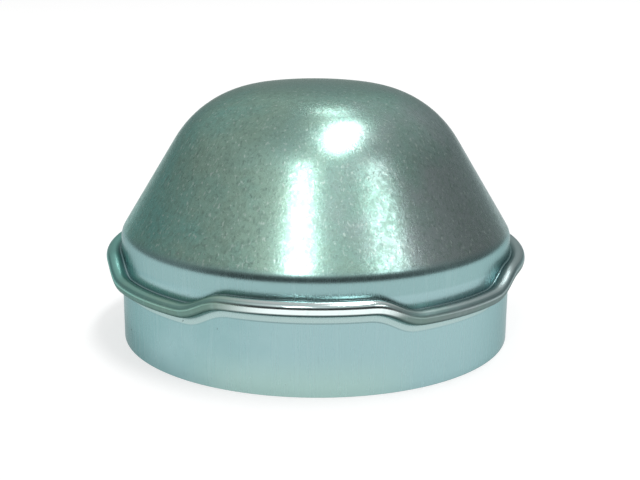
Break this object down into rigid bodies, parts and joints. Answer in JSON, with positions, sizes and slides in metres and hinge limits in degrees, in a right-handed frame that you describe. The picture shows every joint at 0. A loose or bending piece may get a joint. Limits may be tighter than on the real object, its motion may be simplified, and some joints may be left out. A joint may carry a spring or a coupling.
{
  "type": "wheel hub dust cap",
  "caption": "Pressed sheet-steel hub dust cap: a blunt domed cone on a short press-fit skirt, with a folded bead that runs in waves round its waist and stops it on the hub.",
  "frame": {"origin": "centre of the rim, in the plane of the skirt's cut edge", "axes": "+Z along the cap's axis from the rim towards the crown; -Y through the middle of a raised stretch of the bead"},
  "size_m": [0.0668, 0.0668, 0.0401],
  "materials": {
    "zinc_plated_steel": "bright zinc plating with a pale blue-green passivation, satin and finely grained on the dome, smoother on the neck and skirt, brightest on the bead"
  },
  "bodies": {
    "root": {"dust_cap": "zinc_plated_steel"}
  },
  "joints": []
}
